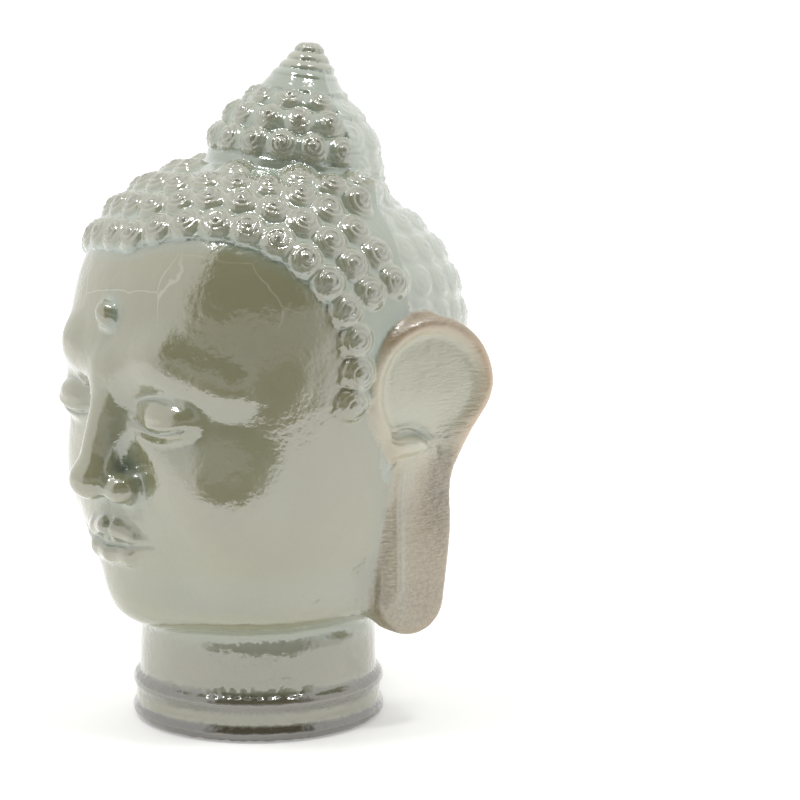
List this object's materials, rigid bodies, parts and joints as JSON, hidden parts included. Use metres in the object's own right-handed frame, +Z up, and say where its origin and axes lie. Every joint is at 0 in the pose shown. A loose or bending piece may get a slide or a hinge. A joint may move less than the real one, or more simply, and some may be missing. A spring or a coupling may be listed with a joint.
{
  "type": "glass buddha head",
  "caption": "Decorative hollow glass head of the Buddha with snail curls, topknot and long ears on a round neck with a beaded ring foot.",
  "frame": {"origin": "centre of the ring foot's underside", "axes": "+Z up through the neck, the face looks along -Y, the head's left ear is at +X"},
  "size_m": [0.1882, 0.1923, 0.2999],
  "materials": {
    "lustre_glass": "opaque sage grey glass with a glossy metallic lustre, paler green in the hollows and taupe on the rims"
  },
  "bodies": {
    "root": {"glass_head": "lustre_glass"}
  },
  "joints": []
}
